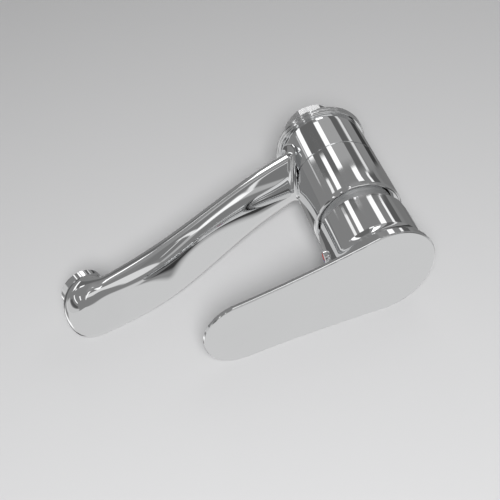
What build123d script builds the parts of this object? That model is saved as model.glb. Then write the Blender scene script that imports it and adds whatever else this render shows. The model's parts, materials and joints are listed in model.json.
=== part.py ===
from build123d import *
import os
from math import copysign, cos, pi, radians, sin, tan

# A single lever basin mixer tap with a cast arm. The origin is the centre of the base
# ring's underside, on the deck; +X runs along the arm and +Z up the body.

# Body, base ring and boss
body_radius = 24.0
body_height = 61.0
body_top_round = 1.5
body_foot_round = 0.6
groove_height = 30.6
groove_width = 0.9
groove_depth = 0.5
groove_stop = 9.5
base_ring_height = 5.0
base_ring_radius = 24.9
base_bead_radius = 1.15
base_bead_inset = 0.2
base_beads = 2
base_seal_inner = 19.5
base_seal_outer = 23.0
base_seal_thickness = 2.0
boss_sides = 8
boss_flats = 30.0
boss_drop = 18.0
boss_chamfer = 1.2
boss_bore = 12.5
spigot_radius = 14.0
spigot_length = 13.0
ring_o_section = 0.8
ring_recess_depth = 1.0

# Water inlets and fixing stud in the body's foot
inlet_spread = 6.6
inlet_socket_radius = 4.5
inlet_socket_depth = 12.0
stud_hole_radius = 3.4
stud_hole_depth = 10.0
stud_hole_x = -8.6
post_radius = 6.8
post_wall = 2.2

# Inner waterway
cavity_radius = 16.5
foot_thickness = 7.5
nut_thread_length = 7.4
floor_thickness = 4.0
waterway_radius = 4.5
waterway_start = 11.5
waterway_bend = 8.0
waterway_cover = 8.9

# Arm: stations along X, each with its lowest and highest point, its half width and
# how far its upper half is drawn in to a ridge (1 is an ellipse, under 1 is fuller)
arm_root = 16.0
arm_reach = 158.0
arm_share = (0.0, 0.225, 0.428, 0.631)
arm_low = (5.4, 20.4, 36.1, 50.6)
arm_high = (31.4, 42.5, 57.5, 72.2)
arm_half_width = (15.0, 16.3, 17.2, 17.5)
arm_ridge = (1.55, 1.42, 1.28, 1.12)
section_points = 16
arm_fillet = 4.0

# Nose: sections that turn about a hinge line behind the outlet, from upright to the
# collar's end, inside an outline with a climbing top and a leaning front
nose_low = 62.2
nose_high = 78.4
nose_half_width = 17.3
nose_ridge = 0.86
nose_climb = 11.3
nose_lean = 9.6
nose_step = 2.0
nose_corner = 8.0
nose_flare_share = 0.6
nose_steps = 5

# Outlet and aerator
outlet_tilt = 20.0
outlet_inset = 10.4
outlet_height = 54.5
outlet_radius = 11.4
outlet_collar = 4.5
outlet_web = 2.0
outlet_chamfer = 0.6
aerator_thread = 9.25
aerator_depth = 9.0
aerator_wall = 1.2
aerator_lip = 1.2
washer_thickness = 1.2
washer_margin = 1.0
aerator_notch = 0.4
jet_radius = 0.75
jet_circle_radius = 4.9
jet_count = 10
screen_thickness = 0.8
screen_recess = 0.6
screen_hole = 0.95
screen_pitch = 2.5
screen_rings = 2

# Cartridge
chamber_radius = 17.6
housing_radius = 17.5
housing_wall = 2.5
housing_neck_radius = 13.6
base_flange = 3.0
base_spigot = 2.0
peg_radius = 1.6
peg_length = 2.2
peg_spread = 13.0
port_inlet_x = 4.5
port_inlet_y = 5.6
port_inlet_radius = 2.6
port_outlet_x = -3.5
port_outlet_radius = 3.4
port_seal_gap = 0.5
port_seal_width = 1.1
port_seal_thickness = 1.2
gasket_radius = 12.5
gasket_thickness = 0.8
fixed_disc_radius = 14.2
fixed_disc_thickness = 3.2
key_width = 3.0
key_depth = 1.5
key_drop = 1.0
moving_disc_radius = 10.3
moving_disc_thickness = 2.95
water_film = 0.05
flange_clearance = 0.8
pocket_radius = 8.8
pocket_edge = 1.2
pocket_depth = 1.5
carrier_plate = 2.0
carrier_hub_radius = 6.0
carrier_hub_flat = 5.0
carrier_hub_height = 3.0
carrier_tab = 2.4
carrier_tab_x = 8.0

# Stem, pivot and guide
ball_rise = 1.5
pivot_to_ball = 13.5
ball_radius = 2.5
arm_of_stem_radius = 2.0
stem_width = 8.0
stem_above_pivot = 20.0
stem_square_below_pivot = 4.0
stem_chamfer = 0.8
pin_radius = 1.5
pin_chamfer = 0.3
guide_neck_radius = 9.6
guide_flange_radius = 11.5
guide_flange_thickness = 2.9
guide_above_pivot = 5.0
guide_slot_half = 6.6
guide_lug_width = 2.8
guide_lug_length = 13.0
guide_o_below_pivot = 3.0
guide_o_section = 0.55

# Retaining nut and cover ring
nut_thread_radius = 18.95
nut_bore = 13.8
nut_collar_radius = 18.2
nut_collar_height = 3.6
nut_flats = 29.0
nut_hex_height = 2.5
cover_radius = 20.0
cover_wall = 1.4
cover_headroom = 1.5
cover_opening = 11.5
cover_round = 4.0
cover_o_section = 0.9

# Handle
skirt_rim_radius = 23.3
skirt_top_radius = 24.0
skirt_wall = 2.1
skirt_gap = 6.5
skirt_rim_slope = -4.2
flare_radius = 11.0
flare_turn = 60.0
handle_height = 33.4
flare_drop = 10.9
roof_drop = 8.4
plate_slope = 6.3
plate_thickness = 2.1
plate_back_radius = 26.35
plate_reach = 95.6
plate_tip_radius = 19.2
plate_waist = 1.2
plate_edge_round = 0.7
hub_radius = 9.5
hub_clearance = 6.0
grub_radius = 2.5
grub_hex = 2.5
grub_hex_depth = 2.6

# Index button on the skirt
index_above_hub = 4.0
index_radius = 3.5
index_proud = 1.6
index_wall = 0.8
index_edge = 0.35
index_insert_depth = 1.6
index_dome = 0.35

# Fits
thread_gap = 0.05
sliding_gap = 0.1
press_gap = 0.02
loose_gap = 0.3
overcut = 1.0

# Places worked out from the sizes above
body_bottom = base_ring_height
body_top = body_bottom + body_height
ring_o_height = (base_ring_height + ring_recess_depth) / 2
recess_top = spigot_length + loose_gap
cavity_floor = recess_top + foot_thickness
carrier_rise = (base_flange + base_spigot + gasket_thickness + fixed_disc_thickness + water_film
                + moving_disc_thickness + carrier_plate)
shoulder_rise = carrier_rise + carrier_hub_height + 2 * flange_clearance
chamber_floor = body_top - nut_thread_length - shoulder_rise
disc_floor = chamber_floor + base_flange + base_spigot
fixed_disc_low = disc_floor + gasket_thickness
moving_disc_low = fixed_disc_low + fixed_disc_thickness + water_film
carrier_low = moving_disc_low + moving_disc_thickness
carrier_top = chamber_floor + carrier_rise
ball_height = carrier_top + ball_rise
pivot_height = ball_height + pivot_to_ball
guide_flange_low = carrier_top + carrier_hub_height + flange_clearance
guide_top = pivot_height + guide_above_pivot
guide_o_height = pivot_height - guide_o_below_pivot
housing_shoulder = guide_flange_low + flange_clearance
nut_top = body_top + nut_collar_height + nut_hex_height
housing_top = nut_top - sliding_gap
cover_top = nut_top + cover_headroom + cover_wall
stem_top = pivot_height + stem_above_pivot
hub_bottom = guide_top + hub_clearance
index_height = hub_bottom + index_above_hub
index_front = skirt_top_radius + index_proud
skirt_bore = skirt_rim_radius - skirt_wall
skirt_rim_height = body_top + skirt_gap
plate_height = skirt_rim_height + handle_height
flare_start = plate_height - flare_drop
skirt_roof = plate_height - roof_drop
plate_tilt = radians(plate_slope)
outlet_reach = outlet_web + outlet_radius
standing = (Align.CENTER, Align.CENTER, Align.MIN)


def rod(radius, low, high, x=0.0, y=0.0):
    return Pos(x, y, low) * Cylinder(radius, high - low, align=standing)


def tube(outer, inner, low, high, x=0.0, y=0.0):
    return rod(outer, low, high, x, y) - rod(inner, low, high, x, y)


def block(width, depth, low, high, x=0.0, y=0.0):
    return Pos(x, y, low) * Box(width, depth, high - low, align=standing)


def cross_rod(radius, start, end, height):
    """A rod along X."""
    return Pos(start, 0, height) * Rot(0, 90, 0) * Cylinder(radius, end - start, align=standing)


def ring_of(section, radius, height):
    """A rubber ring of round section."""
    return Pos(0, 0, height) * Torus(radius, section)


def many_sided(sides, flats, low, high, turn=0.0):
    corner = flats / 2 / cos(pi / sides)
    outline = RegularPolygon(corner, sides, rotation=turn)
    return extrude(Plane.XY.offset(low) * outline, high - low)


def turned(points):
    """A body of revolution about Z from a closed outline of (radius, height) points."""
    outline = Plane.XZ * make_face(Polyline(*points, close=True))
    return revolve(outline, Axis.Z)


def upward(turn):
    """Unit vector along X turned up by an angle in degrees."""
    return Vector(cos(radians(turn)), 0, sin(radians(turn)))


def outlet_frame():
    """Place of the outlet's end face, its local Z pointing up into the arm."""
    return Pos(arm_reach - outlet_inset, 0, outlet_height) * Rot(0, -outlet_tilt, 0)


def nose_hinge():
    """Where the nose's section planes meet, behind the top of the outlet's collar."""
    return (outlet_frame() * Pos(-outlet_reach, 0, outlet_collar)).position


def arm_station(index):
    """Place along X and middle height of one of the arm's stations."""
    x = arm_root + arm_share[index] * (arm_reach - arm_root)
    return x, 0, (arm_low[index] + arm_high[index]) / 2


def arm_section(foot, turn, low, high, half_width, ridge=1.0):
    """A closed curve across the arm in the plane that leans by turn through foot."""
    middle = (low + high) / 2
    half = (high - low) / 2
    points = []
    for step in range(section_points):
        angle = 2 * pi * step / section_points - pi / 2
        power = ridge if 0 < angle < pi else 1.0
        side = copysign(abs(cos(angle)) ** power, cos(angle)) * half_width
        rise = copysign(abs(sin(angle)) ** power, sin(angle)) * half
        points.append(foot + upward(turn) * (middle + rise) + Vector(0, side, 0))
    return Wire([Edge.make_spline(points, periodic=True)])


def nose_section(turn):
    """One of the nose's sections, as high as its top and front outlines together allow."""
    hinge = nose_hinge()
    way = upward(turn)
    share = (turn - outlet_tilt) / (90 - outlet_tilt)
    low = outlet_web + share * (nose_low - hinge.Z - outlet_web)
    depth = outlet_web + 2 * outlet_radius + nose_step
    front = (way.X + way.Z * tan(radians(nose_lean))) / depth
    roof = (way.Z - way.X * tan(radians(nose_climb))) / (nose_high - hinge.Z)
    high = (front ** nose_corner + max(roof, 0) ** nose_corner) ** (-1 / nose_corner)
    flare = (1 - min(share / nose_flare_share, 1)) ** 2
    half_width = nose_half_width - flare * (nose_half_width - outlet_radius)
    ridge = nose_ridge + flare * (1 - nose_ridge)
    return arm_section(hinge, turn, low, high, half_width, ridge)


def arm_solid():
    """The cast arm: sections lofted along X, then round the nose to the outlet's collar."""
    span = arm_reach - arm_root
    sections = []
    for share, low, high, half_width, ridge in zip(
        arm_share, arm_low, arm_high, arm_half_width, arm_ridge
    ):
        foot = Vector(arm_root + share * span, 0, 0)
        sections.append(arm_section(foot, 90, low, high, half_width, ridge))
    sections.append(nose_section(90))
    arm = Solid.make_loft(sections)
    turns = [90 - step * (90 - outlet_tilt) / nose_steps for step in range(nose_steps)]
    collar_end = arm_section(nose_hinge(), outlet_tilt, outlet_web, outlet_web + 2 * outlet_radius,
                             outlet_radius)
    nose = Solid.make_loft([nose_section(turn) for turn in turns] + [collar_end])
    down = -(upward(outlet_tilt + 90))
    collar = extrude(make_face(collar_end.edges()), outlet_collar, dir=down)
    rim = collar.edges().sort_by(Axis(nose_hinge(), down))[-1]
    return arm + nose + chamfer(rim, outlet_chamfer)


def inlet_path(side, low_radius, high_radius, low, high):
    """A straight passage from a hose socket to its port in the chamber floor."""
    lower = Plane.XY.offset(low) * Pos(0, side * inlet_spread) * Circle(low_radius)
    upper = Plane.XY.offset(high) * Pos(port_inlet_x, side * port_inlet_y) * Circle(high_radius)
    return loft([lower, upper])


def arm_waterway():
    """The mixed water's passage from the body's cavity to the outlet."""
    bend_height = nose_high - waterway_cover
    rise = bend_height - outlet_height
    outlet_x = arm_reach - outlet_inset
    path = FilletPolyline(
        (waterway_start, 0, cavity_floor + waterway_radius),
        arm_station(1),
        arm_station(3),
        (outlet_x - rise * tan(radians(outlet_tilt)), 0, bend_height),
        (outlet_x, 0, outlet_height),
        radius=waterway_bend,
    )
    start = Plane(origin=path @ 0, z_dir=path % 0)
    return sweep(start * Circle(waterway_radius), path=path)


def body_and_spout():
    """The brass casting: body, arm and outlet in one piece."""
    body = rod(body_radius, body_bottom, body_top)
    body = fillet(body.edges().group_by(Axis.Z)[-1], body_top_round)
    body = fillet(body.edges().group_by(Axis.Z)[0], body_foot_round)
    casting = body + arm_solid()
    seam = [edge for edge in casting.edges()
            if edge.geom_type == GeomType.BSPLINE and arm_root < edge.center().X < body_radius + 2]
    casting = fillet(seam, arm_fillet)
    low = groove_height - groove_width / 2
    groove = tube(body_radius + overcut, body_radius - groove_depth, low, low + groove_width)
    groove -= block(2 * body_radius, 2 * groove_stop, low, low + groove_width, body_radius)
    casting -= groove
    casting -= rod(cavity_radius, cavity_floor, chamber_floor - floor_thickness)
    casting -= rod(chamber_radius, chamber_floor, body_top)
    casting -= rod(nut_thread_radius + thread_gap, housing_shoulder - sliding_gap, body_top + overcut)
    for side in (-1, 1):
        casting += inlet_path(side, post_radius, port_inlet_radius + post_wall,
                              cavity_floor - overcut, chamber_floor - floor_thickness + overcut)
    stud_top = recess_top + stud_hole_depth
    casting += rod(stud_hole_radius + post_wall, cavity_floor - overcut, stud_top + post_wall,
                   stud_hole_x)
    casting -= rod(spigot_radius + thread_gap, body_bottom - overcut, recess_top)
    for side in (-1, 1):
        socket_top = recess_top + inlet_socket_depth
        casting -= rod(inlet_socket_radius, recess_top - overcut, socket_top, 0, side * inlet_spread)
        casting -= inlet_path(side, port_inlet_radius, port_inlet_radius,
                              socket_top - overcut, chamber_floor + overcut)
        casting -= rod(peg_radius + sliding_gap, chamber_floor - peg_length - sliding_gap,
                       chamber_floor + overcut, 0, side * peg_spread)
    casting -= rod(port_outlet_radius, chamber_floor - floor_thickness - overcut,
                   chamber_floor + overcut, port_outlet_x)
    casting -= rod(stud_hole_radius, recess_top - overcut, stud_top, stud_hole_x)
    casting -= arm_waterway()
    casting -= outlet_frame() * rod(aerator_thread, -overcut, aerator_depth)
    return casting


def base_ring():
    """Chrome ring with beads, bored for the spigot and recessed for the boss."""
    ring = tube(base_ring_radius, spigot_radius + sliding_gap, 0, base_ring_height)
    for bead in range(base_beads):
        height = base_ring_height * (bead + 0.5) / base_beads
        roll = ring_of(base_bead_radius, base_ring_radius - base_bead_inset, height)
        ring += roll & tube(base_ring_radius + base_bead_radius, base_seal_outer, 0, base_ring_height)
    ring -= tube(base_seal_outer, base_seal_inner, 0, base_seal_thickness)
    corner = boss_flats / 2 / cos(pi / boss_sides)
    ring -= rod(corner + loose_gap, -overcut, ring_recess_depth)
    groove = spigot_radius + 2 * ring_o_section
    ring -= tube(groove, spigot_radius, ring_o_height - ring_o_section,
                 ring_o_height + ring_o_section)
    return ring


def base_seal():
    return tube(base_seal_outer, base_seal_inner, 0, base_seal_thickness)


def base_ring_o_ring():
    radius = spigot_radius + ring_o_section + press_gap
    return ring_of(ring_o_section - press_gap, radius, ring_o_height)


def mounting_boss():
    """Eight sided boss below the deck, with the spigot that screws into the body."""
    boss = many_sided(boss_sides, boss_flats, -boss_drop, ring_recess_depth, 180 / boss_sides)
    chamfer_tool = Cone(boss_flats / 2 - boss_chamfer, boss_flats / 2 + boss_drop,
                        boss_drop + boss_chamfer, align=standing)
    boss &= Pos(0, 0, -boss_drop) * chamfer_tool
    boss += rod(spigot_radius, ring_recess_depth - overcut, spigot_length)
    return boss - rod(boss_bore, -boss_drop, spigot_length)


def ports(extra, low, high):
    """The two inlet ports and the outlet port of the cartridge, widened by extra."""
    cut = rod(port_outlet_radius + extra, low, high, port_outlet_x)
    for side in (-1, 1):
        cut += rod(port_inlet_radius + extra, low, high, port_inlet_x, side * port_inlet_y)
    return cut


def inlet_port_seals():
    inner = port_inlet_radius + port_seal_gap
    rings = []
    for side in (-1, 1):
        rings.append(tube(inner + port_seal_width, inner, chamber_floor,
                          chamber_floor + port_seal_thickness, port_inlet_x, side * port_inlet_y))
    return Compound(children=rings)


def outlet_port_seal():
    inner = port_outlet_radius + port_seal_gap
    return tube(inner + port_seal_width, inner, chamber_floor,
                chamber_floor + port_seal_thickness, port_outlet_x)


def keys(gap, low, high):
    """Two upright keys on the base's rim, or their notches when given a gap."""
    cut = Part()
    for side in (-1, 1):
        middle = side * (fixed_disc_radius - key_depth / 2)
        cut += block(key_width + 2 * gap, key_depth + 2 * gap, low, high, 0, middle)
    return cut


def cartridge_base():
    base = rod(housing_radius, chamber_floor, chamber_floor + base_flange)
    base += rod(housing_radius - housing_wall - sliding_gap, chamber_floor, disc_floor)
    base += keys(0.0, disc_floor - overcut, fixed_disc_low + fixed_disc_thickness - key_drop)
    for side in (-1, 1):
        base += rod(peg_radius, chamber_floor - peg_length, chamber_floor + overcut,
                    0, side * peg_spread)
    base -= ports(0.0, chamber_floor - overcut, disc_floor + overcut)
    base -= inlet_port_seals()
    base -= outlet_port_seal()
    return base


def disc_seal():
    gasket = rod(gasket_radius, disc_floor, fixed_disc_low)
    return gasket - ports(port_seal_gap, disc_floor - overcut, fixed_disc_low + overcut)


def fixed_ceramic_disc():
    top = fixed_disc_low + fixed_disc_thickness
    disc = rod(fixed_disc_radius, fixed_disc_low, top)
    disc -= ports(0.0, fixed_disc_low - overcut, top + overcut)
    return disc - keys(sliding_gap, fixed_disc_low - overcut, top + overcut)


def carrier_tabs(gap, high):
    tabs = Part()
    for side in (-1, 1):
        tabs += block(carrier_tab + 2 * gap, carrier_tab + 2 * gap,
                      carrier_low - pocket_depth / 2 - gap, high, side * carrier_tab_x)
    return tabs


def moving_ceramic_disc():
    """The upper disc, with the pocket that joins the ports when it slides forward."""
    disc = rod(moving_disc_radius, moving_disc_low, carrier_low)
    pocket = rod(pocket_radius, moving_disc_low - overcut, moving_disc_low + pocket_depth)
    pocket &= block(2 * pocket_radius, 3 * pocket_radius, moving_disc_low - overcut,
                    moving_disc_low + pocket_depth, pocket_edge - pocket_radius)
    disc -= pocket
    return disc - carrier_tabs(sliding_gap, carrier_low + overcut)


def disc_carrier():
    """Plastic carrier on the upper disc, with the socket for the stem's ball end."""
    top = carrier_top + carrier_hub_height
    carrier = rod(moving_disc_radius, carrier_low, carrier_top)
    hub = rod(carrier_hub_radius, carrier_top, top)
    hub &= block(3 * carrier_hub_radius, 2 * carrier_hub_flat, carrier_top, top)
    carrier += hub
    carrier += carrier_tabs(0.0, carrier_low + overcut)
    socket_floor = ball_height - ball_radius - sliding_gap
    return carrier - rod(ball_radius + sliding_gap, socket_floor, top + overcut)


def cartridge_housing():
    """Outer case of the cartridge, stepped in under the nut."""
    inner = housing_radius - housing_wall
    low = chamber_floor + base_flange
    flange_room = guide_flange_low - sliding_gap
    roof = guide_flange_low + guide_flange_thickness + sliding_gap
    flange_bore = guide_flange_radius + 2 * sliding_gap
    neck_bore = guide_neck_radius + sliding_gap
    return turned([
        (inner, low), (housing_radius, low), (housing_radius, housing_shoulder),
        (housing_neck_radius, housing_shoulder), (housing_neck_radius, housing_top),
        (neck_bore, housing_top), (neck_bore, roof), (flange_bore, roof),
        (flange_bore, flange_room), (inner, flange_room),
    ])


def stem_slot(low, high):
    return block(2 * guide_slot_half, stem_width + 2 * sliding_gap, low, high)


def stem_guide():
    """Turns in the housing, carries the pin and drives the carrier with its lugs."""
    guide = rod(guide_neck_radius, guide_flange_low, guide_top)
    guide += rod(guide_flange_radius, guide_flange_low, guide_flange_low + guide_flange_thickness)
    lug_low = carrier_top + loose_gap
    lug_y = carrier_hub_flat + sliding_gap + guide_lug_width / 2
    for side in (-1, 1):
        guide += block(guide_lug_length, guide_lug_width, lug_low, guide_flange_low + overcut,
                       0, side * lug_y)
    guide -= stem_slot(guide_flange_low - overcut, guide_top + overcut)
    low = guide_o_height - 2 * guide_o_section
    guide -= tube(guide_neck_radius + overcut, guide_neck_radius - 2 * guide_o_section + sliding_gap,
                  low, low + 2 * guide_o_section)
    pin = Pos(0, 0, pivot_height) * Rot(90, 0, 0) * Cylinder(pin_radius, 3 * guide_neck_radius)
    return guide - pin


def guide_o_ring():
    radius = guide_neck_radius - guide_o_section + sliding_gap
    section = guide_o_section - sliding_gap / 2
    return ring_of(section, radius, guide_o_height - guide_o_section)


def pivot_pin():
    length = 2 * (guide_neck_radius - 2 * guide_o_section)
    pin = Cylinder(pin_radius, length)
    pin = chamfer(pin.edges(), pin_chamfer)
    return Pos(0, 0, pivot_height) * Rot(90, 0, 0) * pin


def stem():
    """Square headed lever stem with a cross hole and a ball end."""
    shoulder = pivot_height - stem_square_below_pivot
    bar = block(stem_width, stem_width, shoulder, stem_top)
    bar = chamfer(bar.faces().sort_by(Axis.Z)[-1].edges(), stem_chamfer)
    bar += rod(arm_of_stem_radius, ball_height, shoulder)
    bar += Pos(0, 0, ball_height) * Sphere(ball_radius)
    hole = Cylinder(pin_radius + thread_gap, 3 * stem_width)
    return bar - Pos(0, 0, pivot_height) * Rot(90, 0, 0) * hole


def retaining_nut():
    """Brass nut: thread, round collar with a groove, and a six sided head."""
    collar_top = body_top + nut_collar_height
    nut = rod(nut_thread_radius, housing_shoulder, body_top)
    nut += rod(nut_collar_radius, body_top, collar_top)
    nut += many_sided(6, nut_flats, collar_top, collar_top + nut_hex_height)
    middle = body_top + nut_collar_height / 2
    floor = cover_radius - cover_wall - 2 * cover_o_section
    nut -= tube(nut_thread_radius + overcut, floor, middle - cover_o_section, middle + cover_o_section)
    return nut - rod(nut_bore, housing_shoulder - overcut, collar_top + nut_hex_height + overcut)


def cover_ring_o_ring():
    radius = cover_radius - cover_wall - cover_o_section
    return ring_of(cover_o_section - press_gap, radius, body_top + nut_collar_height / 2)


def cover_ring():
    """Thin chrome dome over the nut."""
    low = body_top + press_gap
    outer = rod(cover_radius, low, cover_top)
    outer = fillet(outer.edges().sort_by(Axis.Z)[-1], cover_round)
    inner = rod(cover_radius - cover_wall, low, cover_top - cover_wall)
    inner = fillet(inner.edges().sort_by(Axis.Z)[-1], cover_round - cover_wall)
    return outer - inner - rod(cover_opening, cover_top - 2 * cover_wall, cover_top + overcut)


def plate_plane(depth):
    """Plane of the lever plate's top face, sunk by depth."""
    along = Vector(cos(plate_tilt), 0, sin(plate_tilt))
    up = Vector(-sin(plate_tilt), 0, cos(plate_tilt))
    return Plane(origin=Vector(0, 0, plate_height) - up * depth, x_dir=along, z_dir=up)


def plate_outline():
    """Round back, waisted sides and round tip."""
    tip = plate_reach - plate_tip_radius
    lean = (plate_back_radius - plate_tip_radius) / tip
    back_x = plate_back_radius * lean
    back_y = plate_back_radius * cos(lean)
    tip_x = tip + plate_tip_radius * lean
    tip_y = plate_tip_radius * cos(lean)
    mid_x = (back_x + tip_x) / 2
    mid_y = (back_y + tip_y) / 2 - plate_waist
    right = ThreePointArc((back_x, -back_y), (mid_x, -mid_y), (tip_x, -tip_y))
    front = ThreePointArc((tip_x, -tip_y), (plate_reach, 0), (tip_x, tip_y))
    left = ThreePointArc((tip_x, tip_y), (mid_x, mid_y), (back_x, back_y))
    back = ThreePointArc((back_x, back_y), (-plate_back_radius, 0), (back_x, -back_y))
    return make_face([right, front, left, back])


def flare_point(turn):
    """A point of the flare's arc, as radius and height."""
    return (skirt_top_radius + flare_radius * (1 - cos(radians(turn))),
            flare_start + flare_radius * sin(radians(turn)))


def skirt_solid():
    """Slightly widening skirt that flares into the plate, cut by the sloping rim."""
    top = plate_height + flare_radius
    low = skirt_rim_height - skirt_gap
    knee, corner = flare_point(flare_turn / 2), flare_point(flare_turn)
    wall = Line((skirt_rim_radius, low), (skirt_top_radius, flare_start))
    flare = ThreePointArc((skirt_top_radius, flare_start), knee, corner)
    rest = Polyline(corner, (corner[0], top), (0, top), (0, low), (skirt_rim_radius, low))
    outline = Plane.XZ * make_face([wall, flare, rest])
    skirt = revolve(outline, Axis.Z)
    skirt &= extrude(plate_plane(plate_thickness / 2) * plate_outline(), -2 * handle_height)
    return skirt


def rim_cut():
    """Everything below the skirt's sloping rim."""
    slope = Pos(0, 0, skirt_rim_height) * Rot(0, -skirt_rim_slope, 0)
    below = (Align.CENTER, Align.CENTER, Align.MAX)
    return slope * Box(4 * plate_back_radius, 4 * plate_back_radius, handle_height, align=below)


def handle():
    """Lever plate, skirt and inner hub in one casting."""
    plate = extrude(plate_plane(0) * plate_outline(), -plate_thickness)
    plate = fillet(plate.edges().group_by(Axis((0, 0, 0), plate_plane(0).z_dir))[-1],
                   plate_edge_round)
    casting = plate + skirt_solid()
    casting -= rod(skirt_bore, skirt_rim_height - 2 * skirt_gap, skirt_roof)
    casting += rod(hub_radius, hub_bottom, skirt_roof + overcut)
    casting -= rim_cut()
    fit = stem_width + 2 * thread_gap
    casting -= block(fit, fit, hub_bottom - overcut, stem_top + sliding_gap)
    casting -= cross_rod(grub_radius + thread_gap, 0, hub_radius + overcut, index_height)
    casting -= cross_rod(index_radius + thread_gap, (hub_radius + skirt_bore) / 2,
                         index_front + overcut, index_height)
    return casting


def grub_screw():
    start = stem_width / 2 + press_gap
    screw = cross_rod(grub_radius, start, hub_radius, index_height)
    socket = Rot(0, 90, 0) * many_sided(6, grub_hex, 0, grub_hex_depth + overcut)
    return screw - Pos(hub_radius - grub_hex_depth, 0, index_height) * socket


def index_bezel():
    """Small cup pushed into the skirt's front."""
    cup = cross_rod(index_radius, skirt_bore, index_front, index_height)
    cup = chamfer(cup.edges().sort_by(Axis.X)[-1], index_edge)
    return cup - cross_rod(index_radius - index_wall, index_front - index_insert_depth,
                           index_front + overcut, index_height)


def index_insert():
    """Slightly domed insert in the cup."""
    radius = index_radius - index_wall - press_gap
    floor = index_front - index_insert_depth
    sphere = (radius ** 2 + index_dome ** 2) / (2 * index_dome)
    insert = cross_rod(radius, floor, index_front + index_dome, index_height)
    centre = index_front + index_dome - sphere
    return insert & Pos(centre, 0, index_height) * Sphere(sphere)


def aerator_shell():
    """Threaded ring in the outlet."""
    outer = aerator_thread - thread_gap
    shell = tube(outer, outer - aerator_wall, 0, aerator_depth - washer_thickness)
    shell -= tube(outer + overcut, outer - aerator_notch, -overcut, aerator_lip)
    return outlet_frame() * shell


def aerator_washer():
    outer = aerator_thread - thread_gap
    low = aerator_depth - washer_thickness
    return outlet_frame() * tube(outer, waterway_radius + washer_margin, low, aerator_depth)


def aerator_insert():
    """Plastic insert with a ring of jets."""
    radius = aerator_thread - 2 * thread_gap - aerator_wall
    low = screen_recess + screen_thickness
    high = aerator_depth - washer_thickness
    insert = rod(radius, low, high)
    jet = Pos(jet_circle_radius, 0, low - overcut) * Cylinder(jet_radius, high, align=standing)
    for copy in PolarLocations(0, jet_count):
        insert -= copy * jet
    return outlet_frame() * insert


def aerator_screen():
    """Perforated disc at the mouth."""
    radius = aerator_thread - 2 * thread_gap - aerator_wall
    screen = rod(radius, screen_recess, screen_recess + screen_thickness)
    hole = rod(screen_hole, screen_recess - overcut, screen_recess + screen_thickness + overcut)
    screen -= hole
    for ring in range(1, screen_rings + 1):
        for copy in PolarLocations(ring * screen_pitch, 6 * ring):
            screen -= copy * hole
    return outlet_frame() * screen


makers = (
    body_and_spout, base_ring, base_seal, base_ring_o_ring, mounting_boss,
    cartridge_base, inlet_port_seals, outlet_port_seal, disc_seal, fixed_ceramic_disc,
    moving_ceramic_disc, disc_carrier, cartridge_housing, stem_guide, guide_o_ring,
    pivot_pin, stem, retaining_nut, cover_ring_o_ring, cover_ring, handle, grub_screw,
    index_bezel, index_insert, aerator_shell, aerator_washer, aerator_insert, aerator_screen,
)

os.makedirs("parts", exist_ok=True)
for maker in makers:
    export_step(maker(), os.path.join("parts", maker.__name__ + ".step"))
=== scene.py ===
import json
import math

import bpy
import numpy as np
from mathutils import Matrix, Vector


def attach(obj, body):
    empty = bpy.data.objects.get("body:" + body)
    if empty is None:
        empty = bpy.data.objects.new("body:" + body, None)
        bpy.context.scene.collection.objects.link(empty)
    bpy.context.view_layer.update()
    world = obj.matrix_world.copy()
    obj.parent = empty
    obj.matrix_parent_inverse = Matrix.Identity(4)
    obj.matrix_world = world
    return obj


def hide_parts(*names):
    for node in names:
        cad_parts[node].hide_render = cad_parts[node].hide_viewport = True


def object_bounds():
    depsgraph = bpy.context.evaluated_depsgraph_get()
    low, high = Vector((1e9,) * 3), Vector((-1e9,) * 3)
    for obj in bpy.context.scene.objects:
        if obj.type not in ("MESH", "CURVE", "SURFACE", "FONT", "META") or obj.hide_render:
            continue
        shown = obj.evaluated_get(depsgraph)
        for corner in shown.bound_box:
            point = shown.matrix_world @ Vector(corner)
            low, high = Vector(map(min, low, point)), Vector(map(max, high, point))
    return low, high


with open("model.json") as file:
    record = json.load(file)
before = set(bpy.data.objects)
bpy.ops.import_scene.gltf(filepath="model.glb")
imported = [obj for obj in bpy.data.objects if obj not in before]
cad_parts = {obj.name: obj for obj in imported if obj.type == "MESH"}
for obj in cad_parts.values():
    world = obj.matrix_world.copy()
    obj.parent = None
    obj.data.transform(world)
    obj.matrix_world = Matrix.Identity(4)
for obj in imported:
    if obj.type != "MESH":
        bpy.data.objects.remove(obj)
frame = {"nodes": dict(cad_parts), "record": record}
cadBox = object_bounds()
nodes = frame["nodes"]
print("frame loaded:", len(nodes), "nodes")


# Small helpers for node trees

def newMaterial(name):
    mat = bpy.data.materials.new(name)
    mat.use_nodes = True
    mat.node_tree.nodes.clear()
    return mat


def put(tree, kind, values=None, **settings):
    node = tree.nodes.new(kind)
    for key, value in settings.items():
        setattr(node, key, value)
    for key, value in (values or {}).items():
        node.inputs[key].default_value = value
    return node


def join(tree, source, output, target, socket):
    tree.links.new(source.outputs[output], target.inputs[socket])


def firstSocket(value):
    return value if isinstance(value, bpy.types.NodeSocket) else value.outputs[0]


def maths(tree, operation, first, second=None):
    # One Math node: a number is written on the socket, a node is linked by its first output
    node = put(tree, "ShaderNodeMath", operation=operation)
    for index, value in enumerate((first, second)):
        if value is None:
            continue
        if isinstance(value, (int, float)):
            node.inputs[index].default_value = value
        else:
            tree.links.new(firstSocket(value), node.inputs[index])
    return node


def ease(tree, value, low, high, outLow=0.0, outHigh=1.0):
    # Smooth step of value from low to high
    node = put(tree, "ShaderNodeMapRange", interpolation_type="SMOOTHSTEP")
    node.inputs["From Min"].default_value = low
    node.inputs["From Max"].default_value = high
    node.inputs["To Min"].default_value = outLow
    node.inputs["To Max"].default_value = outHigh
    tree.links.new(firstSocket(value), node.inputs["Value"])
    return node


# Camera at the photograph's angle

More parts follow.
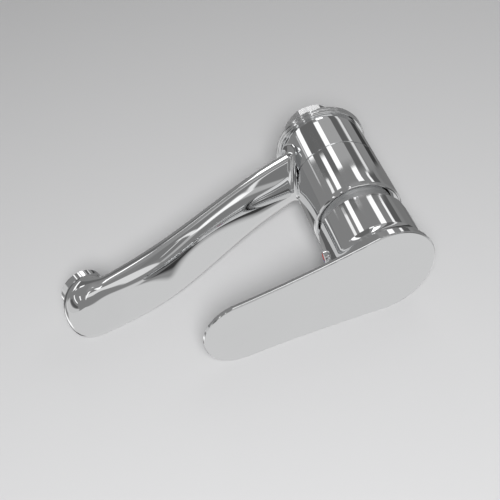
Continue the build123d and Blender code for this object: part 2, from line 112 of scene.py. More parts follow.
cameraSet = {
    "place": (0.0885, -0.3131, 0.3570),
    "right": (-0.9542, 0.1514, 0.2582),
    "up": (-0.2912, -0.6682, -0.6846),
    "forward": (-0.0689, 0.7284, -0.6817),
    "lens": 59.9,  # millimetres, as is the sensor's width
    "sensor": 36.0,
    "nearest": 0.01,  # metres, and nothing nearer is drawn
}


def makeCamera():
    data = bpy.data.cameras.new("photoCamera")
    data.sensor_width = cameraSet["sensor"]
    data.lens = cameraSet["lens"]
    data.clip_start = cameraSet["nearest"]
    obj = bpy.data.objects.new("photoCamera", data)
    bpy.context.scene.collection.objects.link(obj)
    back = -Vector(cameraSet["forward"])
    columns = (Vector(cameraSet["right"]), Vector(cameraSet["up"]), back)
    turn = Matrix([[column[row] for column in columns] for row in range(3)])
    obj.matrix_world = Matrix.Translation(cameraSet["place"]) @ turn.to_4x4()
    bpy.context.scene.camera = obj


makeCamera()
bpy.context.scene.view_settings.view_transform = "Standard"


# Floor: the sheet that the tap lies on, close behind its +Y side

floorSet = {
    "offset": 0.0262,
    "lean": -0.07,  # how fast it comes nearer along X
    "half": 2.0,
    "colour": (0.62, 0.62, 0.625, 1.0),
    "rough": 0.2,
}


def makeFloor():
    half = floorSet["half"]
    corners = []
    for x, z in ((-half, -half), (half, -half), (half, half), (-half, half)):
        corners.append((x, floorSet["offset"] + floorSet["lean"] * x, z))
    mesh = bpy.data.meshes.new("floorSheet")
    mesh.from_pydata(corners, [], [(0, 1, 2, 3)])
    mesh.update()
    obj = bpy.data.objects.new("floorSheet", mesh)
    bpy.context.scene.collection.objects.link(obj)
    mat = newMaterial("floorSheet")
    tree = mat.node_tree
    out = put(tree, "ShaderNodeOutputMaterial")
    paper = put(tree, "ShaderNodeBsdfDiffuse",
                {"Color": floorSet["colour"], "Roughness": floorSet["rough"]})
    clear = put(tree, "ShaderNodeBsdfTransparent")
    side = put(tree, "ShaderNodeNewGeometry")
    mix = put(tree, "ShaderNodeMixShader")
    join(tree, side, "Backfacing", mix, 0)
    join(tree, paper, 0, mix, 1)
    join(tree, clear, 0, mix, 2)
    join(tree, mix, 0, out, "Surface")
    mesh.materials.append(mat)
    obj.visible_glossy = False


makeFloor()
print("camera and floor done")


# Studio light: the room that the polished tap mirrors. Directions are in degrees about the
# tap's own Z (turn) and above its XY plane (climb); a level of 1 mirrors as plain white

roomSet = {
    "ceiling": 0.29,  # where no patch lies
    "camera": (0.60, 0.60, 0.605, 1.0),  # seen past the floor's edge
    "dome": 0.24,  # even light on the floor and on plain materials
    "seam": 5.0,  # turns past this count as a full turn less, so a patch can cross the back
}

# Each patch: lowest and highest turn, lowest and highest climb, edge softness in turn and
# in climb, level, and how far the climb leans with the turn. Later patches lie over earlier ones
roomPatches = {
    "behindHigh": (-380.0, -205.0, -38.0, 95.0, 22.0, 14.0, 0.80, 0.0),
    "behindLow": (-255.0, -185.0, -75.0, -26.0, 10.0, 8.0, 0.24, 0.0),
    "behindNear": (-264.0, -240.0, -75.0, -36.0, 8.0, 8.0, 0.3, 0.0),
    "backDark": (-301.0, -288.0, -37.0, -8.0, 6.0, 5.0, 0.14, 0.0),
    "backLamp": (-319.0, -309.0, -37.0, -6.0, 1.5, 5.0, 1.5, 0.0),
    "backGrey": (-342.0, -326.0, -37.0, -6.0, 8.0, 6.0, 0.3, 0.0),
    "marginDark": (-334.0, -303.0, -75.0, -40.5, 3.0, 1.0, 0.14, 0.0),
    "backSlit": (-238.0, -232.0, -40.0, 0.0, 1.0, 3.0, 1.4, 0.0),
    "backEnd": (-228.0, -214.0, -42.0, 4.0, 4.0, 4.0, 0.2, 0.0),
    "frontPale": (-19.0, 20.0, -30.0, 70.0, 5.0, 8.0, 0.74, 0.0),
    "frontDark": (-36.0, -23.0, -12.0, 60.0, 3.0, 8.0, 0.12, 0.0),
    "roofDark": (-176.0, -150.0, 20.0, 41.0, 6.0, 5.0, 0.27, 0.0),
    "roofGrey": (-146.0, -112.0, 10.0, 37.0, 4.0, 4.0, 0.25, -0.25),
    "skyLamp": (-150.0, -86.0, 39.0, 60.0, 5.0, 3.0, 0.95, -0.25),
    "skySlit": (-134.6, -132.4, 24.0, 36.0, 0.8, 3.0, 0.9, 0.0),
    "skySoft": (-131.0, -117.0, 1.0, 11.0, 4.0, 4.0, 0.62, -0.6),
    "sideSoft": (-119.0, -84.0, -40.0, 8.0, 6.0, 5.0, 0.36, 0.0),
    "edgeLamp": (-91.5, -88.5, 15.0, 60.0, 1.0, 4.0, 1.5, 0.0),
    "edgeSecond": (-69.5, -66.0, 10.0, 45.0, 1.0, 4.0, 1.5, 0.0),
    "edgeThird": (-49.5, -45.5, -20.0, 45.0, 1.5, 4.0, 1.5, 0.0),
    "wallLow": (-86.0, -45.0, -75.0, -45.3, 2.0, 0.6, 0.175, 0.0),
    "wallPale": (-134.0, -99.0, -75.0, -45.6, 3.0, 0.8, 0.47, 0.0),
    "cornerLow": (-151.0, -134.0, -75.0, -44.8, 2.0, 0.8, 0.15, 0.0),
    "cornerHigh": (-173.0, -156.0, -44.2, -36.0, 2.0, 0.5, 0.13, 0.0),
    "sideDark": (-215.0, -194.0, -75.0, -44.5, 3.0, 0.8, 0.06, 0.0),
    "sideGrey": (-193.0, -167.0, -75.0, -44.5, 2.0, 0.6, 0.32, 0.0),
    "lampMain": (-99.5, -86.5, -50.4, -45.5, 1.0, 0.15, 1.5, 0.0),
    "lampSecond": (-72.5, -61.5, -46.8, -40.0, 1.2, 0.6, 1.5, 0.0),
    "lampLeft": (-44.5, -31.5, -75.0, -46.9, 1.5, 0.3, 1.5, 0.0),
    "lampThin": (-29.5, -26.0, -49.0, -45.2, 1.0, 0.3, 0.7, 0.0),
    "lampShort": (-53.5, -46.5, -45.3, -40.0, 1.5, 0.2, 1.2, 0.0),
    "lampRight": (-131.5, -118.0, -45.2, -40.0, 2.0, 0.2, 1.5, 0.0),
    "slitHigh": (-154.5, -148.0, -44.4, -38.0, 1.5, 0.3, 1.3, 0.0),
    "slitLow": (-162.0, -154.0, -75.0, -44.4, 2.0, 0.4, 0.95, 0.0),
    "crestSoft": (-234.5, -214.0, 29.0, 55.0, 5.0, 6.0, 0.33, 0.0),
    "crestDark": (-228.0, -199.0, 32.0, 50.0, 5.0, 3.0, 0.05, 0.0),
    "armSlit": (-153.5, -146.0, 27.0, 46.5, 3.0, 2.0, 0.58, 0.0),
    "armLamp": (-153.5, -147.0, 27.6, 31.0, 2.0, 0.8, 1.4, 0.0),
    "bossLamp": (-118.0, -98.0, -78.0, -52.0, 2.0, 1.5, 3.0, 0.0),
    "plateLine": (-92.0, -86.0, -40.2, -36.5, 1.0, 0.6, 0.27, 0.0),
    "plateEdge": (-91.3, -88.2, -36.2, -3.0, 0.8, 1.0, 2.0, 0.0),
    "armTail": (-148.0, -128.0, 25.3, 27.0, 3.0, 0.8, 1.1, -0.42),
}


def maskBand(tree, value, low, high, soft):
    # One inside low to high, fading over soft on both sides
    up = ease(tree, value, low - soft / 2, low + soft / 2)
    down = ease(tree, value, high - soft / 2, high + soft / 2, 1.0, 0.0)
    return maths(tree, "MULTIPLY", up, down)


def roomLevel(tree):
    coords = put(tree, "ShaderNodeTexCoord")
    split = put(tree, "ShaderNodeSeparateXYZ")
    join(tree, coords, "Generated", split, 0)
    turn = maths(tree, "ARCTAN2", split.outputs["Y"], split.outputs["X"])
    turn = maths(tree, "MULTIPLY", turn, 180 / math.pi)
    late = maths(tree, "GREATER_THAN", turn, roomSet["seam"])
    turn = maths(tree, "SUBTRACT", turn, maths(tree, "MULTIPLY", late, 360.0))
    climb = maths(tree, "ARCSINE", split.outputs["Z"])
    climb = maths(tree, "MULTIPLY", climb, 180 / math.pi)
    level = None
    for left, right, low, high, softTurn, softClimb, patch, lean in roomPatches.values():
        height = climb
        if lean:
            off = maths(tree, "SUBTRACT", turn, (left + right) / 2)
            height = maths(tree, "SUBTRACT", climb, maths(tree, "MULTIPLY", off, lean))
        mask = maths(tree, "MULTIPLY", maskBand(tree, turn, left, right, softTurn),
                     maskBand(tree, height, low, high, softClimb))
        mix = put(tree, "ShaderNodeMix", data_type="FLOAT")
        tree.links.new(mask.outputs[0], mix.inputs[0])
        if level is None:
            mix.inputs[2].default_value = roomSet["ceiling"]
        else:
            tree.links.new(level.outputs[0], mix.inputs[2])
        mix.inputs[3].default_value = patch
        level = mix
    return level


def makeWorld():
    world = bpy.data.worlds.new("studio")
    bpy.context.scene.world = world
    world.use_nodes = True
    tree = world.node_tree
    tree.nodes.clear()
    light = put(tree, "ShaderNodeBackground")
    join(tree, roomLevel(tree), 0, light, "Strength")
    plain = put(tree, "ShaderNodeBackground", {"Color": roomSet["camera"], "Strength": 1.0})
    dome = put(tree, "ShaderNodeBackground", {"Strength": roomSet["dome"]})
    path = put(tree, "ShaderNodeLightPath")
    soft = put(tree, "ShaderNodeMixShader")
    mix = put(tree, "ShaderNodeMixShader")
    out = put(tree, "ShaderNodeOutputWorld")
    join(tree, path, "Is Diffuse Ray", soft, 0)
    join(tree, light, 0, soft, 1)
    join(tree, dome, 0, soft, 2)
    join(tree, path, "Is Camera Ray", mix, 0)
    join(tree, soft, 0, mix, 1)
    join(tree, plain, 0, mix, 2)
    join(tree, mix, 0, out, "Surface")


makeWorld()


# Soft lamps that light paper, rubber and plastic; the chrome doesn't mirror them

lampSet = {
    "overhead": {"place": (0.11, -0.66, 0.70), "size": 0.4, "power": 9.0},
    "upper": {"place": (-0.5, -0.7, -0.4), "size": 0.7, "power": 0.6},
}


def makeLamps():
    middle = (Vector(cadBox[0]) + Vector(cadBox[1])) / 2
    for name, values in lampSet.items():
        data = bpy.data.lights.new(name, "AREA")
        data.shape = "DISK"
        data.size = values["size"]
        data.energy = values["power"]
        obj = bpy.data.objects.new(name, data)
        bpy.context.scene.collection.objects.link(obj)
        toward = middle - Vector(values["place"])
        turn = toward.to_track_quat("-Z", "Y").to_matrix().to_4x4()
        obj.matrix_world = Matrix.Translation(values["place"]) @ turn
        obj.visible_glossy = False


makeLamps()
print("light done")


# Surfaces: grids of points worked out as whole arrays, columns round and rows along

def smoothThrough(knots, values, at):
    # Natural cubic spline: second derivatives from the three-term equations, then the
    # usual cubic on each span
    knots, values = np.asarray(knots, float), np.asarray(values, float)
    gap = np.diff(knots)
    rise = np.diff(values) / gap
    size = len(knots)
    matrix = np.eye(size)
    middle = np.arange(1, size - 1)
    matrix[middle, middle - 1] = gap[:-1]
    matrix[middle, middle] = 2 * (gap[:-1] + gap[1:])
    matrix[middle, middle + 1] = gap[1:]
    side = np.zeros(size)
    side[1:-1] = 6 * np.diff(rise)
    bend = np.linalg.solve(matrix, side)
    span = np.clip(np.searchsorted(knots, at) - 1, 0, size - 2)
    left, right = knots[span], knots[span + 1]
    a, b, h = right - at, at - left, gap[span]
    return (bend[span] * a ** 3 / (6 * h) + bend[span + 1] * b ** 3 / (6 * h)
            + (values[span] / h - bend[span] * h / 6) * a
            + (values[span + 1] / h - bend[span + 1] * h / 6) * b)


def meshFromGrid(name, grid, capFirst=False, capLast=False, closeRows=False):
    # Quads between neighbouring rows and columns, columns wrapping round; a cap is a fan
    # to the middle of its row
    rows, cols = grid.shape[:2]
    index = np.arange(rows * cols).reshape(rows, cols)
    if closeRows:
        index = np.vstack([index, index[:1]])
    ahead = np.roll(index, -1, axis=1)
    quads = np.stack([index[:-1], ahead[:-1], ahead[1:], index[1:]], axis=-1).reshape(-1, 4)
    points = grid.reshape(-1, 3)
    faces = quads.tolist()
    for wanted, row, turnRound in ((capFirst, index[0], True), (capLast, index[-1], False)):
        if not wanted:
            continue
        points = np.vstack([points, grid.reshape(-1, 3)[row].mean(axis=0)])
        centre = np.full(cols, len(points) - 1)
        near, far = (np.roll(row, -1), row) if turnRound else (row, np.roll(row, -1))
        faces += np.stack([near, far, centre], axis=-1).tolist()
    mesh = bpy.data.meshes.new(name)
    mesh.from_pydata(points.tolist(), [], faces)
    mesh.update()
    return mesh


def makePiece(name, mesh, mat, body, sharp, replaced=()):
    obj = bpy.data.objects.new(name, mesh)
    bpy.context.scene.collection.objects.link(obj)
    mesh.polygons.foreach_set("use_smooth", [True] * len(mesh.polygons))
    mesh.set_sharp_from_angle(angle=math.radians(sharp))
    mesh.materials.append(mat)
    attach(obj, body)
    if replaced:
        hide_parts(*replaced)
    return obj


def signedVolume(grid):
    # Sum of tetrahedra from the origin to each triangle of the wrapped grid
    a, b = grid[:-1], np.roll(grid, -1, axis=1)[:-1]
    c, d = np.roll(grid, -1, axis=1)[1:], grid[1:]
    return (np.sum(np.cross(a, b) * c) + np.sum(np.cross(a, c) * d)) / 6


# Casting: the arm and nose as sections carried along and round, in millimetres here

armSet = {
    "root": 16.0,
    "reach": 158.0,
    "share": (0.0, 0.225, 0.428, 0.631),
    "low": (5.4, 20.4, 36.1, 50.6),
    "high": (31.4, 42.5, 57.5, 72.2),
    "halfWidth": (15.0, 16.3, 17.2, 17.5),
    "ridge": (1.55, 1.42, 1.28, 1.12),  # above 1 the upper half comes to a ridge
    "fillet": 4.0,
    "flatAt": (16.0, 28.0, 46.0, 67.0, 83.0, 96.0, 117.0, 134.0),  # the flat crest: where in X
    "flatDrop": (0.0, 0.3, 1.2, 2.4, 2.8, 2.6, 1.6, 0.4),  # and how far below the highest line
    "flatCrown": 0.005,  # how fast the flat falls away from the middle, by the square of Y
    "flatEdge": 0.8,  # how softly the flat turns into the sides
    "columns": 256,
    "rootRows": (-0.3, 0.0, 0.04, 0.1, 0.2, 0.35, 0.55, 0.8, 1.1, 1.45, 1.85, 2.3, 2.8, 3.4,
                 4.0, 4.7, 5.5),  # rows close to the body, from its wall outwards
    "farStart": 6.5,  # evenly spaced rows from here on, to just before the nose
    "farStep": 1.0,
    "farStop": 0.4,
    "rootReach": 26.0,  # over this length the rows straighten from the body's round wall
    "rootTimes": 4,  # how often the rows are set against that wall, each time closer
    "seamRows": 10.0,  # rows each side of the nose's seam that are smoothed, how strongly
    "seamPull": 0.5,
    "seamTimes": 12,
    "sharp": 30.0,  # degrees past which an edge is drawn sharp
}
noseSet = {
    "low": 62.2,
    "high": 78.4,
    "halfWidth": 17.3,
    "ridge": 0.86,
    "climb": 11.3,
    "lean": 9.6,
    "step": 2.0,
    "corner": 8.0,
    "flareShare": 0.6,
    "steps": 5,
    "rowTurn": 1.4,
    "flatStart": 50.0,  # the arm's flat crest fades out between these turns
    "flatFull": 90.0,
}
outletSet = {
    "tilt": 20.0,
    "inset": 10.4,
    "height": 54.5,
    "radius": 11.4,
    "collar": 4.5,
    "web": 2.0,
    "chamfer": 0.6,
    "bore": 9.25,
    "depth": 9.0,
    "way": 4.5,
    "wayEnd": 4.0,
    "collarRows": (0.66, 0.33),
}


def hingePoint():
    # The line that the nose turns about: from the middle of the outlet's end, back along its
    # tilted face by the radius and the web, and up by the collar
    tilt = math.radians(outletSet["tilt"])
    reach = outletSet["web"] + outletSet["radius"]
    x = armSet["reach"] - outletSet["inset"]
    x += -reach * math.cos(tilt) - outletSet["collar"] * math.sin(tilt)
    z = outletSet["height"] - reach * math.sin(tilt) + outletSet["collar"] * math.cos(tilt)
    return x, z


def noseValues(turn):
    # Low, high, half width and ridge of one nose section; the top and front outlines are
    # joined by a power mean
    x, z = hingePoint()
    way = np.array([math.cos(math.radians(turn)), math.sin(math.radians(turn))])
    share = (turn - outletSet["tilt"]) / (90 - outletSet["tilt"])
    low = outletSet["web"] + share * (noseSet["low"] - z - outletSet["web"])
    depth = outletSet["web"] + 2 * outletSet["radius"] + noseSet["step"]
    front = (way[0] + way[1] * math.tan(math.radians(noseSet["lean"]))) / depth
    roof = (way[1] - way[0] * math.tan(math.radians(noseSet["climb"]))) / (noseSet["high"] - z)
    corner = noseSet["corner"]
    high = (front ** corner + max(roof, 0) ** corner) ** (-1 / corner)
    flare = (1 - min(share / noseSet["flareShare"], 1)) ** 2
    halfWidth = noseSet["halfWidth"] - flare * (noseSet["halfWidth"] - outletSet["radius"])
    return low, high, halfWidth, noseSet["ridge"] + flare * (1 - noseSet["ridge"])


sectionSet = {
    "samples": 16,
    "powers": (0.8, 1.6, 81),  # lowest and highest ridge power in the table, and its rows
}


def ridgeTable(columns):
    # Side and rise of a unit section for each ridge power, as periodic cubic splines
    # through sixteen points; the spline's weights come from its cyclic equations
    samples = sectionSet["samples"]
    powers = np.linspace(*sectionSet["powers"])[:, None]
    angle = 2 * np.pi * np.arange(samples) / samples - np.pi / 2
    upper = np.sin(angle) > 1e-9
    power = np.where(upper[None, :], powers, 1.0)
    side = np.sign(np.round(np.cos(angle), 12)) * np.abs(np.cos(angle)) ** power
    rise = np.sign(np.round(np.sin(angle), 12)) * np.abs(np.sin(angle)) ** power
    wave = (4 + 2 * np.cos(2 * np.pi * np.arange(samples) / samples)) / 6
    at = np.arange(columns) * samples / columns
    base = np.floor(at).astype(int)
    part = at - base
    weights = np.stack([(1 - part) ** 3, 3 * part ** 3 - 6 * part ** 2 + 4,
                        -3 * part ** 3 + 3 * part ** 2 + 3 * part + 1, part ** 3]) / 6
    tables = []
    for values in (side, rise):
        knobs = np.real(np.fft.ifft(np.fft.fft(values, axis=1) / wave, axis=1))
        table = sum(weights[k] * knobs[:, (base + k - 1) % samples] for k in range(4))
        tables.append(table)
    return powers[:, 0], tables[0], tables[1]


def unitSection(ridge, tables):
    # The section of any ridge power, read between the two nearest rows of the table
    powers, side, rise = tables
    at = np.clip((ridge - powers[0]) / (powers[1] - powers[0]), 0, len(powers) - 1.001)
    low = np.floor(at).astype(int)
    part = at - low
    col = np.arange(side.shape[1])[None, :]
    return (side[low, col] * (1 - part) + side[low + 1, col] * part,
            rise[low, col] * (1 - part) + rise[low + 1, col] * part)


def flatCrest(z, x, y, high):
    # A smooth minimum of the section's height and a slightly crowned flat below its crest
    drop = smoothThrough(armSet["flatAt"], armSet["flatDrop"], x)
    flat = high - drop - armSet["flatCrown"] * y ** 2
    return (z + flat - np.sqrt((z - flat) ** 2 + armSet["flatEdge"] ** 2)) / 2


def armGrid():
    # A point is the section's middle plus side and rise; rows near the body follow its
    # round wall, and the fillet pushes them outwards by a quarter circle's gap
    tables = ridgeTable(armSet["columns"])
    hingeX, hingeZ = hingePoint()
    span = armSet["reach"] - armSet["root"]
    knots = [armSet["root"] + share * span for share in armSet["share"]] + [hingeX]
    last = noseValues(90.0)
    tracks = [list(armSet["low"]) + [hingeZ + last[0]], list(armSet["high"]) + [hingeZ + last[1]],
              list(armSet["halfWidth"]) + [last[2]], list(armSet["ridge"]) + [last[3]]]
    radius, fillet = bodySet["radius"], armSet["fillet"]
    far = np.arange(armSet["farStart"], hingeX - radius - armSet["farStop"], armSet["farStep"])
    along = np.concatenate([armSet["rootRows"], far, [hingeX - radius]])[:, None]
    fade = np.clip(1 - np.maximum(along, 0) / armSet["rootReach"], 0, 1)
    fade = fade * fade * (3 - 2 * fade)
    shift = np.zeros((1, armSet["columns"]))
    for _ in range(armSet["rootTimes"]):
        x = radius + along + fade * shift
        low, high, halfWidth, ridge = (smoothThrough(knots, track, x) for track in tracks)
        side, rise = unitSection(ridge, tables)
        y = side * halfWidth
        shift = np.sqrt(radius ** 2 - np.clip(y[1:2], -radius + 1, radius - 1) ** 2) - radius
    z = flatCrest((low + high) / 2 + rise * (high - low) / 2, x, y, high)
    out = np.hypot(side / halfWidth, rise / (high - low) * 2) + 1e-9
    gap = np.clip(np.hypot(x, y) - radius, 0, fillet)
    push = fillet - np.sqrt(fillet ** 2 - (fillet - gap) ** 2)
    y = y + push * side / halfWidth / out
    z = z + push * rise / (high - low) * 2 / out
    return np.stack([x, y, z], axis=-1)


def noseGrid():
    # Sections turned about the hinge line, each value a spline through the CAD's turns
    tables = ridgeTable(armSet["columns"])
    hingeX, hingeZ = hingePoint()
    tilt = outletSet["tilt"]
    turns = [90 - step * (90 - tilt) / noseSet["steps"] for step in range(noseSet["steps"])]
    values = [noseValues(turn) for turn in turns]
    values.append((outletSet["web"], outletSet["web"] + 2 * outletSet["radius"],
                   outletSet["radius"], 1.0))
    knots = np.array(turns + [tilt])[::-1]
    tracks = np.array(values)[::-1].T
    count = int((90 - tilt) / noseSet["rowTurn"])
    turn = np.linspace(90, tilt, count + 1)[1:, None]
    low, high, halfWidth, ridge = (smoothThrough(knots, track, turn) for track in tracks)
    side, rise = unitSection(np.broadcast_to(ridge, (count, armSet["columns"])), tables)
    reach = (low + high) / 2 + rise * (high - low) / 2
    keep = (turn - noseSet["flatStart"]) / (noseSet["flatFull"] - noseSet["flatStart"])
    keep = np.clip(keep, 0, 1) ** 2
    flat = flatCrest(reach, hingeX, side * halfWidth, high)
    reach = reach + keep * (flat - reach)
    angle = np.radians(turn)
    return np.stack([hingeX + np.cos(angle) * reach, side * halfWidth,
                     hingeZ + np.sin(angle) * reach], axis=-1)


def outletGrid():
    # The collar, its chamfered rim, end face, bore and the waterway's blind end: circles
    # of one radius at one height each, above the outlet's end face
    outlet = outletSet
    rings = [(outlet["radius"], outlet["collar"] * part) for part in outlet["collarRows"]]
    rings += [(outlet["radius"], outlet["chamfer"]), (outlet["radius"] - outlet["chamfer"], 0.0),
              (outlet["bore"], 0.0), (outlet["bore"], outlet["depth"]),
              (outlet["way"], outlet["depth"]),
              (outlet["way"], outlet["depth"] + outlet["wayEnd"])]
    radius, height = np.array(rings).T[:, :, None]
    angle = (2 * np.pi * np.arange(armSet["columns"]) / armSet["columns"] - np.pi / 2)[None, :]
    tilt = math.radians(outlet["tilt"])
    centre = np.array([armSet["reach"] - outlet["inset"], 0.0, outlet["height"]])
    along = np.array([math.cos(tilt), 0.0, math.sin(tilt)])
    up = np.array([-math.sin(tilt), 0.0, math.cos(tilt)])
    return (centre + (radius * np.sin(angle))[..., None] * along
            + (radius * np.cos(angle))[..., None] * np.array([0.0, 1.0, 0.0])
            + (height * np.ones_like(angle))[..., None] * up)


def makeArm(mat):
    # The rows of arm and nose make one skin, each row near their seam is drawn towards the
    # mean of its neighbours, and the outlet's rings follow
    arm, nose = armGrid(), noseGrid()
    skin = np.concatenate([arm, nose])
    seam = len(arm) - 1
    rows = np.arange(len(skin))
    weight = np.clip(1 - np.abs(rows - seam) / armSet["seamRows"], 0, 1)[:, None, None]
    weight = weight * armSet["seamPull"]
    for _ in range(armSet["seamTimes"]):
        mean = (np.roll(skin, 1, axis=0) + np.roll(skin, -1, axis=0)) / 2
        skin = skin + weight * (mean - skin)
    grid = np.concatenate([skin, outletGrid()]) / 1000
    if signedVolume(grid) < 0:
        grid = grid[:, ::-1]  # so that the faces point outwards
    mesh = meshFromGrid("castArm", grid, capFirst=True, capLast=True)
    return makePiece("castArm", mesh, mat, "tap_body", armSet["sharp"])


# Casting: the body as a closed profile turned about Z

bodySet = {
    "radius": 24.0,
    "bottom": 5.0,
    "top": 66.0,
    "topRound": 1.5,
    "footRound": 0.6,
    "groove": 30.6,
    "grooveWidth": 0.9,
    "grooveDepth": 0.8,
    "grooveStop": 9.5,  # half the width that the arm's root hides
    "grooveRows": 11,
    "roundRows": 8,
    "columns": 240,
    "sharp": 35.0,
    "lowerRows": (10.0, 15.0, 20.0, 25.0, 29.0),
    "upperRows": (32.0, 36.0, 42.0, 48.0, 54.0, 60.0),
    "bore": ((19.0, 56.0), (17.6, 56.0), (17.6, 42.0), (14.05, 42.0)),  # its steps, top down
}


def bodyProfile():
    # Outside radius and height from the foot's underside up, round the top, down the bore
    body = bodySet
    quarter = np.linspace(0, np.pi / 2, body["roundRows"])
    foot = np.stack([body["radius"] - body["footRound"] * (1 - np.sin(quarter)),
                     body["bottom"] + body["footRound"] * (1 - np.cos(quarter))], axis=1)
    half = body["grooveWidth"] / 2
    lower = np.array([(body["radius"], height) for height in body["lowerRows"]])
    upper = np.array([(body["radius"], height) for height in body["upperRows"]])
    dip = np.linspace(-1, 1, body["grooveRows"])
    groove = np.stack([body["radius"] - body["grooveDepth"] * np.sqrt(np.clip(1 - dip ** 2, 0, 1)),
                       body["groove"] + half * dip], axis=1)
    top = np.stack([body["radius"] - body["topRound"] * (1 - np.cos(quarter)),
                    body["top"] - body["topRound"] * (1 - np.sin(quarter))], axis=1)
    steps = body["bore"]
    bore = [(steps[0][0], body["top"]), *steps, (steps[-1][0], body["bottom"])]
    return np.concatenate([foot, lower, groove, upper, top, bore])


def makeBody(mat):
    # The profile turned round Z; the groove's rows keep the full radius behind the arm
    profile = bodyProfile()
    angle = 2 * np.pi * np.arange(bodySet["columns"]) / bodySet["columns"]
    radius = np.broadcast_to(profile[:, :1], (len(profile), bodySet["columns"])).copy()
    dipped = (profile[:, 0] < bodySet["radius"]) & (np.abs(profile[:, 1] - bodySet["groove"]) < 1)
    hidden = np.abs(bodySet["radius"] * np.sin(angle)) < bodySet["grooveStop"]
    hidden = hidden & (np.cos(angle) > 0)
    radius[np.ix_(dipped, hidden)] = bodySet["radius"]
    grid = np.stack([radius * np.cos(angle), radius * np.sin(angle),
                     np.broadcast_to(profile[:, 1:], radius.shape)], axis=-1) / 1000
    if signedVolume(np.concatenate([grid, grid[:1]])) < 0:
        grid = grid[:, ::-1]
    mesh = meshFromGrid("castBody", grid, closeRows=True)
    return makePiece("castBody", mesh, mat, "tap_body", bodySet["sharp"],
                     replaced=("body_and_spout",))


# Finishes

# Each finish: colour, metal, roughness low and high with the scale of its clouding, how far
# the pattern is stretched along X, Y and Z, a broad ripple and a fine grain, both as scale
# per metre and depth in metres, and how much the colour darkens in patches
finishSet = {
    "chrome_casting": dict(
        colour=(0.87, 0.875, 0.88), metal=1.0, rough=(0.018, 0.05), cloud=70.0,
        stretch=(1, 1, 1), ripple=(38.0, 1.6e-5), grain=(2600.0, 2.5e-7), dark=0.03),
    "chrome_ring": dict(
        colour=(0.87, 0.875, 0.88), metal=1.0, rough=(0.03, 0.08), cloud=160.0,
        stretch=(1, 1, 1), ripple=(180.0, 6e-6), grain=(3000.0, 3e-7), dark=0.05),
    "chrome_cover": dict(
        colour=(0.8, 0.805, 0.81), metal=1.0, rough=(0.45, 0.54), cloud=120.0, stretch=(1, 1, 3),
        ripple=(90.0, 5e-6), grain=(2400.0, 6e-7), dark=0.08),
    "chrome_handle": dict(
        colour=(0.88, 0.885, 0.89), metal=1.0, rough=(0.016, 0.045), cloud=55.0,
        stretch=(0.5, 1, 1), ripple=(30.0, 1.2e-5), grain=(2600.0, 2e-7), dark=0.03),
    "chrome_bezel": dict(
        colour=(0.86, 0.865, 0.87), metal=1.0, rough=(0.04, 0.09), cloud=400.0,
        stretch=(1, 1, 1), ripple=(400.0, 2e-6), grain=(4000.0, 3e-7), dark=0.05),
    "chrome_aerator": dict(
        colour=(0.84, 0.85, 0.86), metal=1.0, rough=(0.06, 0.14), cloud=300.0, stretch=(1, 1, 6),
        ripple=(300.0, 3e-6), grain=(4000.0, 5e-7), dark=0.08),
    "brushed_boss": dict(
        colour=(0.9, 0.9, 0.905), metal=1.0, rough=(0.22, 0.36), cloud=500.0,
        stretch=(1.0, 1.0, 0.03), ripple=(60.0, 6e-6), grain=(5200.0, 2.2e-6), dark=0.12),
    "black_rubber": dict(
        colour=(0.03, 0.03, 0.032), metal=0.0, rough=(0.5, 0.72), cloud=600.0, stretch=(1, 1, 1),
        ripple=(150.0, 2e-5), grain=(3500.0, 6e-6), dark=0.3),
    "white_plastic": dict(
        colour=(0.82, 0.82, 0.8), metal=0.0, rough=(0.32, 0.46), cloud=240.0, stretch=(1, 1, 1),
        ripple=(70.0, 1.5e-5), grain=(3800.0, 2.5e-6), dark=0.06),
    "grey_plastic": dict(
        colour=(0.42, 0.44, 0.46), metal=0.0, rough=(0.34, 0.5), cloud=240.0, stretch=(1, 1, 1),
        ripple=(80.0, 1.5e-5), grain=(3800.0, 2.5e-6), dark=0.1),
    "screen_plastic": dict(
        colour=(0.78, 0.79, 0.8), metal=0.0, rough=(0.3, 0.42), cloud=500.0, stretch=(1, 1, 1),
        ripple=(200.0, 6e-6), grain=(4200.0, 1.5e-6), dark=0.08),
    "ceramic": dict(
        colour=(0.9, 0.88, 0.84), metal=0.0, rough=(0.08, 0.16), cloud=900.0, stretch=(1, 1, 1),
        ripple=(50.0, 2e-6), grain=(7000.0, 4e-7), dark=0.05),
    "steel_pin": dict(
        colour=(0.62, 0.62, 0.63), metal=1.0, rough=(0.2, 0.34), cloud=700.0,
        stretch=(0.1, 0.1, 1), ripple=(120.0, 3e-6), grain=(6000.0, 1.6e-6), dark=0.14),
    "steel_screw": dict(
        colour=(0.5, 0.5, 0.51), metal=1.0, rough=(0.22, 0.38), cloud=700.0,
        stretch=(1, 0.1, 0.1), ripple=(150.0, 3e-6), grain=(6000.0, 1.8e-6), dark=0.16),
    "brass_nut": dict(
        colour=(0.78, 0.62, 0.3), metal=1.0, rough=(0.2, 0.34), cloud=500.0,
        stretch=(0.05, 0.05, 1), ripple=(90.0, 5e-6), grain=(5200.0, 2.4e-6), dark=0.18),
    "index_colours": dict(
        colour=(0.75, 0.06, 0.04), metal=0.0, rough=(0.1, 0.18), cloud=900.0, stretch=(1, 1, 1),
        ripple=(200.0, 4e-6), grain=(5000.0, 6e-7), dark=0.1, other=(0.03, 0.11, 0.5)),
}


patternSet = {
    "cloudFrom": 0.35,  # noise between these turns from the low roughness to the high one
    "cloudTo": 0.68,
    "patchFrom": 0.4,  # and between these from the colour to its darker patches
    "patchTo": 0.75,
    "patchScale": 0.31,  # against the clouds
    "patchShade": 0.3,
    "noiseRough": 0.55,
    "insertSeam": 0.00006,  # half the width over which the insert's halves meet, in metres
}


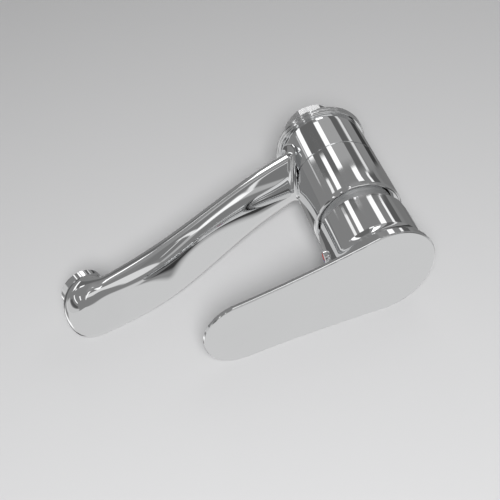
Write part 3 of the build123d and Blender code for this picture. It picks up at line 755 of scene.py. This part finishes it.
def noise(tree, place, scale, detail):
    node = put(tree, "ShaderNodeTexNoise",
               {"Scale": scale, "Detail": detail, "Roughness": patternSet["noiseRough"]})
    join(tree, place, 0, node, "Vector")
    return node


def makeFinish(name, colour, metal, rough, cloud, stretch, ripple, grain, dark, other=None):
    mat = newMaterial(name)
    tree = mat.node_tree
    out = put(tree, "ShaderNodeOutputMaterial")
    skin = put(tree, "ShaderNodeBsdfPrincipled", {"Metallic": metal})
    coords = put(tree, "ShaderNodeTexCoord")
    place = put(tree, "ShaderNodeMapping")
    place.inputs["Scale"].default_value = stretch
    join(tree, coords, "Object", place, "Vector")
    clouds = noise(tree, place, cloud, 4.0)
    gloss = ease(tree, clouds, patternSet["cloudFrom"], patternSet["cloudTo"], *rough)
    join(tree, gloss, 0, skin, "Roughness")
    patches = noise(tree, place, cloud * patternSet["patchScale"], 3.0)
    fade = ease(tree, patches, patternSet["patchFrom"], patternSet["patchTo"], 0.0, dark)
    tint = put(tree, "ShaderNodeMix", data_type="RGBA")
    tint.inputs[6].default_value = (*colour, 1.0)
    shade = [part * patternSet["patchShade"] for part in colour]
    tint.inputs[7].default_value = (*shade, 1.0)
    join(tree, fade, 0, tint, 0)
    if other:
        split = put(tree, "ShaderNodeSeparateXYZ")
        join(tree, coords, "Object", split, 0)
        side = ease(tree, split.outputs["Y"], -patternSet["insertSeam"], patternSet["insertSeam"])
        halves = put(tree, "ShaderNodeMix", data_type="RGBA")
        halves.inputs[6].default_value = (*colour, 1.0)
        halves.inputs[7].default_value = (*other, 1.0)
        join(tree, side, 0, halves, 0)
        tree.links.new(halves.outputs[2], tint.inputs[6])
    tree.links.new(tint.outputs[2], skin.inputs["Base Color"])
    broad = put(tree, "ShaderNodeBump", {"Strength": 1.0, "Distance": ripple[1]})
    join(tree, noise(tree, place, ripple[0], 1.0), 0, broad, "Height")
    fine = put(tree, "ShaderNodeBump", {"Strength": 1.0, "Distance": grain[1]})
    join(tree, noise(tree, place, grain[0], 3.0), 0, fine, "Height")
    join(tree, broad, 0, fine, "Normal")
    join(tree, fine, 0, skin, "Normal")
    join(tree, skin, 0, out, "Surface")
    return mat


finishes = {name: makeFinish(name, **values) for name, values in finishSet.items()}
for row in frame["record"]["subparts"]:
    data = nodes[row["node"]].data
    data.materials.clear()
    data.materials.append(finishes[row["material_slot"]])
print("finishes done")

makeBody(finishes["chrome_casting"])
makeArm(finishes["chrome_casting"])
print("casting done")
